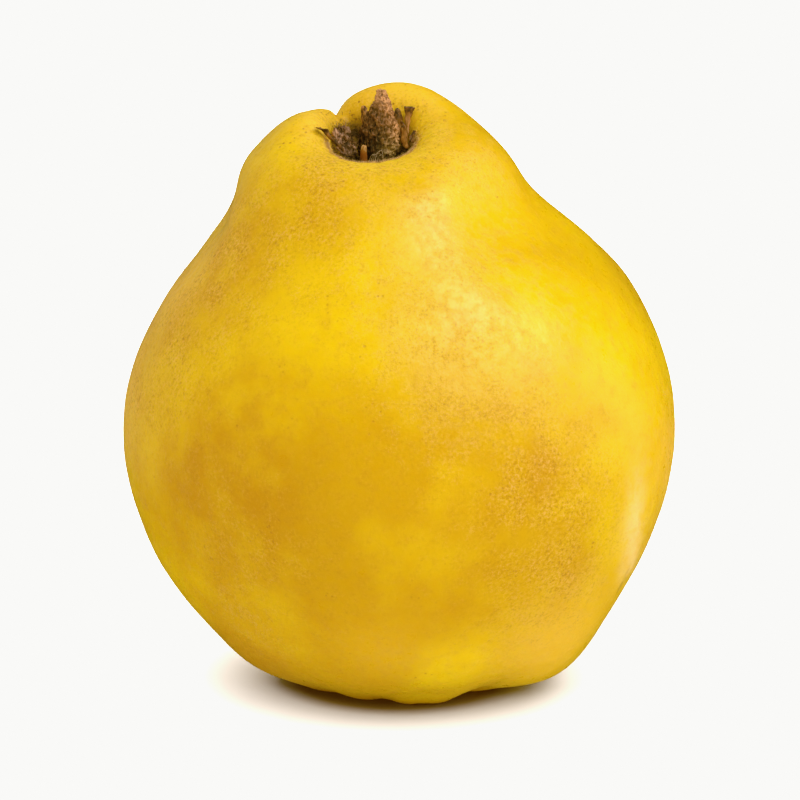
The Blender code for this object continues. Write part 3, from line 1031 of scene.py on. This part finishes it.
def make_felt(points, normals, at):
    """The felt round the rim of the stem pit and on its walls, and the felt in the basin."""
    dice = np.random.default_rng(FELT_SEED)
    places = [
        ("rim_felt", RIM_HAIRS, at.rim**2, at.pit, RIM_LEANING, (HAIR_BEIGE, HAIR_PALE)),
        ("pit_felt", PIT_HAIRS, at.in_pit, at.pit, PIT_LEANING, (HAIR_BROWN, HAIR_GREY)),
        ("basin_felt", BASIN_HAIRS, at.in_basin, at.basin, 0.0, (HAIR_GREY, HAIR_BEIGE)),
    ]
    for name, growth, weights, centre, leaning, colours in places:
        roots = chosen(weights, growth[0], dice)
        pull = leaning * unit((centre - points[roots]) * (1.0, 1.0, 0.0))
        ground = (points[roots], normals[roots])
        hairs = grow_hairs(name, growth, ground, pull, FELT_STANCE, dice)
        add_piece(name, hairs, hair_material(name, *colours))


# ------------ stub and scraps


def climb(points):
    """How far up each point is, from 0 at the foot to 1 at the tip."""
    heights = points[:, 2]
    return (heights - heights.min()) / (heights.max() - heights.min())


def make_stub():
    """The woody stub: furrowed and flaky bark with loose fibres, and a pale broken tip, with
    painted shade low down away from the right and painted light in a strip up the right.
    """
    mesh = refined("stem_stub", STUB_LEVELS)
    points = read_points(mesh)
    normals = read_normals(mesh)
    along = climb(points)
    _, azimuth = around(points, middle("stem_stub"))
    furrows = waves(points * (1.0, 1.0, FURROW_STRETCH), *FURROW_NOISE)
    relief = FURROW_SHARE * (1.0 - 2.0 * np.abs(furrows))
    relief += FLAKE_SHARE * waves(points, *FLAKE_NOISE)
    relief += KNOB_SHARE * waves(points, *KNOB_NOISE)
    depth = BARK_DEPTH * (TIP_DEPTH + (1.0 - TIP_DEPTH) * fade(*TIP_HEIGHTS, along))
    points = points + normals * ((relief - BARK_LEVEL) * depth)[:, None]
    points[:, 2] = np.minimum(points[:, 2], node_box("stem_stub")[1][2])
    write_points(mesh, points)

    # Painted shade: darker low down and round from the right.
    shade = fade(*SHADE_HEIGHTS, along)
    shade *= SHADE_STRENGTH * fade(*SHADE_ROUND, np.abs(azimuth - SHADE_AZIMUTH))
    # The relief mask carries the painted shade too.
    write_mask(mesh, "relief", (relief - relief.min()) / np.ptp(relief) - shade)
    # Painted light: a pale strip up the right side, towards the key.
    strip = bell(azimuth - STRIP_AZIMUTH, STRIP_WIDTH) * fade(*STRIP_HEIGHTS, along)
    pale_tip_and_painted_light = fade(*WORN_HEIGHTS, along) + STRIP_STRENGTH * strip
    write_mask(mesh, "top", np.clip(pale_tip_and_painted_light, 0.0, 1.0))
    felted = bell(azimuth - FELT_AZIMUTH, FELT_WIDTH) * bell(along - FELT_HEIGHT, FELT_TALL)
    write_mask(mesh, "patch", felted)
    bark = dry_material("bark", BARK_DARK, BARK_BROWN, BARK_TIP, 0.6, FELT_OLIVE)
    add_piece("stub_bark", mesh, bark, ["stem_stub"])
    make_bark_fibres(points, normals, along)


def make_bark_fibres(points, normals, along):
    """Fine fibres that stand off the bark and point upwards."""
    dice = np.random.default_rng(BARK_SEED)
    roots = chosen(fade(*FIBRE_HEIGHTS, along), BARK_FIBRES[0], dice)
    out = normals[roots]
    upward = unit(np.array([0.0, 0.0, 1.0]) - out * out[:, 2:])
    ground = (points[roots], out)
    fibres = grow_hairs("bark_fibres", BARK_FIBRES, ground, upward, BARK_STANCE, dice)
    pale = PALE_STRENGTH * fade(*PALE_HEIGHTS, climb(read_points(fibres)))
    write_mask(fibres, "top", pale)
    material = hair_material("bark_fibre", BARK_DARK, BARK_PALE, BARK_TIP)
    add_piece("bark_fibres", fibres, material)


def hollow_tip(points, along, width, depth, spread):
    """Hollow the tip of an upright scrap, and flare it."""
    tip = points[along > TIP_SHARE].mean(axis=0)
    from_tip, _ = around(points, tip)
    points[:, 2] -= depth * bell(from_tip, width) * fade(TIP_SHARE, 1.0, along)
    flare = spread * fade(FLARE_SHARE, 1.0, along)
    points[:, :2] += (points - tip)[:, :2] * flare[:, None]


def make_scrap(node, material, slot, crinkle, seed, stretch):
    """A dried scrap: the CAD node's shape, crinkled, with creases that run up it."""
    mesh = refined(node, SCRAP_LEVELS)
    points = read_points(mesh)
    along = climb(points)
    drawn_out = points * (1.0, 1.0, stretch)
    relief = CREASE_SHARE * waves(drawn_out, CREASE_SIZE, seed, CREASE_OCTAVES)
    crumples = waves(points, CRUMPLE_SIZE, seed + CRUMPLE_SEED, CRUMPLE_OCTAVES)
    relief += CRUMPLE_SHARE * crumples
    points = points + read_normals(mesh) * (crinkle * relief)[:, None]
    if node in HOLLOW_TIPS:
        hollow_tip(points, along, *HOLLOW_TIPS[node])
    write_points(mesh, points)
    write_mask(mesh, "relief", 0.5 + 0.6 * relief)
    write_mask(mesh, "top", fade(*SCRAP_TOP, along))
    add_piece(f"{node}_dried", mesh, material, [node])
    return mesh


def make_scale_fibres(points, normals):
    """Dark splinters that stand off the dried scale."""
    dice = np.random.default_rng(SCALE_SEED)
    roots = dice.integers(len(points), size=SCALE_FIBRES[0])
    ground = (points[roots], normals[roots])
    pull = SPLINTER_PULL
    fibres = grow_hairs("scale_fibres", SCALE_FIBRES, ground, pull, SCALE_STANCE, dice)
    material = hair_material("scale_fibre", SCRAP_BLACK, SCALE_GREY)
    add_piece("scale_fibres", fibres, material)


def make_tubes(name, routes):
    """Closed tubes in one mesh. A route is a list of points and a list of their radii."""
    points = []
    faces = []
    for route, radii in routes:
        route = np.array(route)
        start = len(points)
        ways = unit(np.gradient(route, axis=0))
        across = unit(np.cross(ways, THREAD_ACROSS))
        beside = np.cross(ways, across)
        for place, one, two, radius in zip(route, across, beside, radii):
            points += [place + radius * spoke for spoke in spokes(one, two, THREAD_SIDES)]
        for ring in range(len(route) - 1):
            for side in range(THREAD_SIDES):
                a = start + ring * THREAD_SIDES + side
                b = start + ring * THREAD_SIDES + (side + 1) % THREAD_SIDES
                faces.append((a, b, b + THREAD_SIDES, a + THREAD_SIDES))
        faces.append(tuple(start + side for side in reversed(range(THREAD_SIDES))))
        faces.append(tuple(len(points) - THREAD_SIDES + side for side in range(THREAD_SIDES)))
    mesh = build_mesh(name, np.array(points), faces)
    write_mask(mesh, "relief", np.full(len(points), 0.5))
    return mesh


def make_curls(material):
    """The pale curled threads at the front of the pit, in the room of their CAD node."""
    low, high = node_box("stipule_curl")
    dice = np.random.default_rng(CURL_SEED)
    stem = np.linspace(0.0, 1.0, CURL_POINTS)
    radii = CURL_THICKNESS / 2.0 * (1.0 - CURL_TAPER * stem)
    routes = []
    for index in range(CURLS):
        turn = np.linspace(0.0, math.pi * dice.uniform(*CURL_TURNS), CURL_POINTS)
        radius = dice.uniform(*CURL_RADII)
        across = CURL_CORNER + CURL_ACROSS * index / (CURLS - 1)
        inward = CURL_CORNER + CURL_INWARD * dice.uniform()
        room = high[2] - low[2] - radius
        rise = dice.uniform(*CURL_HEIGHTS) * room * stem**CURL_RISE
        x = low[0] + across + CURL_NARROW * radius * (1.0 - np.cos(turn))
        y = low[1] + inward + CURL_SWAY * np.sin(3.0 * turn)
        z = low[2] + rise + radius * np.sin(turn)
        routes.append((np.column_stack([x, y, z]), radii))
    curls = make_tubes("stipule_curls", routes)
    add_piece("stipule_curls", curls, material, ["stipule_curl"])


def make_threads(name, node, count, ring, swelling, seed):
    """Dried threads with swollen ends, in a ring that hangs from the top of a node's box."""
    low, high = node_box(node)
    centre = (low + high) / 2.0 * (1.0, 1.0, 0.0)
    reach = (high[0] - low[0]) / 2.0
    at_top, at_tip = ring
    dice = np.random.default_rng(seed)
    routes = []
    for index in range(count):
        uneven = dice.uniform(-THREAD_UNEVEN, THREAD_UNEVEN)
        azimuth = 2.0 * math.pi * (index + uneven) / count
        length = (high[2] - low[2]) * dice.uniform(*THREAD_LENGTHS)
        route = []
        radii = []
        for share, thickness in zip(np.linspace(0.0, 1.0, len(THREAD_SWELL)), THREAD_SWELL):
            radius = reach * (at_top + (at_tip - at_top) * share**THREAD_SPREAD)
            turned = azimuth + THREAD_WANDER * math.sin(THREAD_TURNS * share + index)
            across = radius * np.array([math.cos(turned), math.sin(turned), 0.0])
            route.append(centre + across + (0.0, 0.0, high[2] - length * share))
            radii.append(thickness if share < THREAD_END else thickness * swelling)
        routes.append((route, radii))
    return make_tubes(name, routes)


def make_scraps():
    """What is dried: bracts, scales and stipules in the pit, and the calyx underneath."""
    stuff = {name: dry_material(name, *looks) for name, looks in DRY_STUFF.items()}
    for node, kind, *rest in BRACTS:
        make_scrap(node, stuff[kind], *rest)
    make_curls(stuff["pale_fibre"])
    for node, kind, *rest in SCALES:
        mesh = make_scrap(node, stuff[kind], *rest)
        if node == "bud_scale":
            make_scale_fibres(read_points(mesh), read_normals(mesh))
    for node, kind, *rest in SEPALS:
        make_scrap(node, stuff[kind], *rest)
    for name, node, kind, *rest in THREADS:
        threads = make_threads(name, node, *rest)
        add_piece(name, threads, stuff[kind], [node])


# ------------ studio


def add_object(name, data):
    """Put new data in the scene."""
    made = bpy.data.objects.new(name, data)
    bpy.context.scene.collection.objects.link(made)
    return made


def direction(azimuth, elevation):
    """The way that an azimuth and an elevation in degrees point."""
    azimuth = math.radians(azimuth)
    elevation = math.radians(elevation)
    level = math.cos(elevation)
    return Vector((level * math.cos(azimuth), level * math.sin(azimuth), math.sin(elevation)))


def add_lamp(name, strength, spread, towards, lit):
    """A soft distant white lamp in the direction towards, which lights only one collection."""
    lamp = bpy.data.lights.new(name, "SUN")
    lamp.energy = strength
    lamp.angle = math.radians(spread)
    made = add_object(name, lamp)
    made.rotation_euler = Vector(towards).to_track_quat("Z", "Y").to_euler()
    made.light_linking.receiver_collection = lit
    return made


def make_card(name, colour, height):
    """A large flat card of the studio's floor, which isn't mirrored in the skin."""
    shape = bmesh.new()
    bmesh.ops.create_grid(shape, x_segments=1, y_segments=1, size=FLOOR_SIZE * MM / 2.0)
    mesh = bpy.data.meshes.new(name)
    shape.to_mesh(mesh)
    shape.free()
    mesh.materials.append(card_material(name, colour))
    card = add_object(name, mesh)
    card.location.z = height * MM
    card.visible_glossy = False
    return card


def alone(card):
    """A collection that holds one card, for a lamp that lights nothing else."""
    holder = bpy.data.collections.new(card.name)
    holder.objects.link(card)
    return holder


def make_floor():
    """The white card that is seen is so brightly lit that its light would wash the quince out,
    and its shadow shows only close to the quince. So the light that rises to the quince comes
    from a grey card just under it, whose lamp the quince doesn't shade."""
    white = make_card("white_floor", FLOOR_WHITE, 0.0)
    white.visible_diffuse = False
    white.visible_shadow = False
    grey = make_card("grey_floor", FLOOR_GREY, -FLOOR_GAP)
    grey.visible_camera = False
    add_lamp("wash", WASH_STRENGTH, WASH_SPREAD, WASH_TOWARDS, alone(white))
    only_grey = alone(grey)
    bounce = add_lamp("bounce", BOUNCE_STRENGTH, WASH_SPREAD, WASH_TOWARDS, only_grey)
    bounce.light_linking.blocker_collection = only_grey


def make_dome():
    """A soft sky that is brighter on one side, and isn't mirrored in the skin."""
    world = bpy.data.worlds.new("dome")
    bpy.context.scene.world = world
    tree = Tree(world)
    place = tree.node("ShaderNodeTexCoord", {}).outputs["Generated"]
    towards = Vector(DOME_TOWARDS).normalized()
    cosine = tree.vector_math("DOT_PRODUCT", {0: place, 1: towards}).outputs["Value"]
    inputs = {"Value": cosine, "From Min": -1.0, "To Min": DOME_DIM, "To Max": DOME_BRIGHT}
    strength = tree.node("ShaderNodeMapRange", inputs).outputs["Result"]
    sky = {"Color": (*DOME_COLOUR, 1.0), "Strength": strength}
    tree.feed(tree.nodes["Background"], sky)
    world.cycles_visibility.glossy = False


def make_studio():
    """A white floor, a soft dome, a key from the upper right and a few lamps for gloss."""
    make_floor()
    make_dome()
    towards_key = direction(KEY_AZIMUTH, KEY_ELEVATION)
    key = add_lamp("key", KEY_STRENGTH, KEY_SPREAD, towards_key, look)
    key.visible_glossy = False
    for azimuth, elevation, spread, strength in GLOSS:
        gloss = add_lamp("gloss", strength, spread, direction(azimuth, elevation), look)
        gloss.visible_diffuse = False


def set_tones():
    """Plain tones, with white held at the white of the paper and faint blue held back, as a
    camera does with a strong yellow."""
    view = bpy.context.scene.view_settings
    view.view_transform = "Standard"
    view.use_curve_mapping = True
    curves = view.curve_mapping
    curves.extend = "HORIZONTAL"
    for curve, white in zip(curves.curves, srgb(*PAPER_WHITE)):
        curve.points[-1].location = (1.0, white)
    blue = curves.curves[2]
    for tone in BLUE_TONES:
        blue.points.new(*tone)
    for point in blue.points:
        point.handle_type = "VECTOR"
    curves.update()


def make_camera():
    """A long lens a little above the quince, square on to its front."""
    data = bpy.data.cameras.new("camera")
    data.sensor_width = SENSOR_WIDTH
    data.lens = SENSOR_WIDTH * CAMERA_DISTANCE / FRAME_WIDTH
    data.clip_start = CAMERA_NEAR * MM
    camera = add_object("camera", data)
    elevation = math.radians(CAMERA_ELEVATION)
    back = Vector((0.0, -math.cos(elevation), math.sin(elevation)))
    camera.location = (Vector(CAMERA_AIM) + back * CAMERA_DISTANCE) * MM
    camera.rotation_euler = (math.radians(90.0 - CAMERA_ELEVATION), 0.0, 0.0)
    bpy.context.scene.camera = camera


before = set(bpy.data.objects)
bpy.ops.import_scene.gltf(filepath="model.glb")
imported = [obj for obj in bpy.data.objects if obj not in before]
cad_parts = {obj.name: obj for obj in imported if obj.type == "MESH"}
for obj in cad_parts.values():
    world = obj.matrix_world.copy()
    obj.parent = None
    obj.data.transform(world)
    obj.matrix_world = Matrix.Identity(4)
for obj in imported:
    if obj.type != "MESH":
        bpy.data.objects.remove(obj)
cad_box = [list(corner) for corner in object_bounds()]
set_tones()
look = bpy.data.collections.new("look")
bpy.context.scene.collection.children.link(look)
make_camera()
make_studio()
make_skin()
make_stub()
make_scraps()
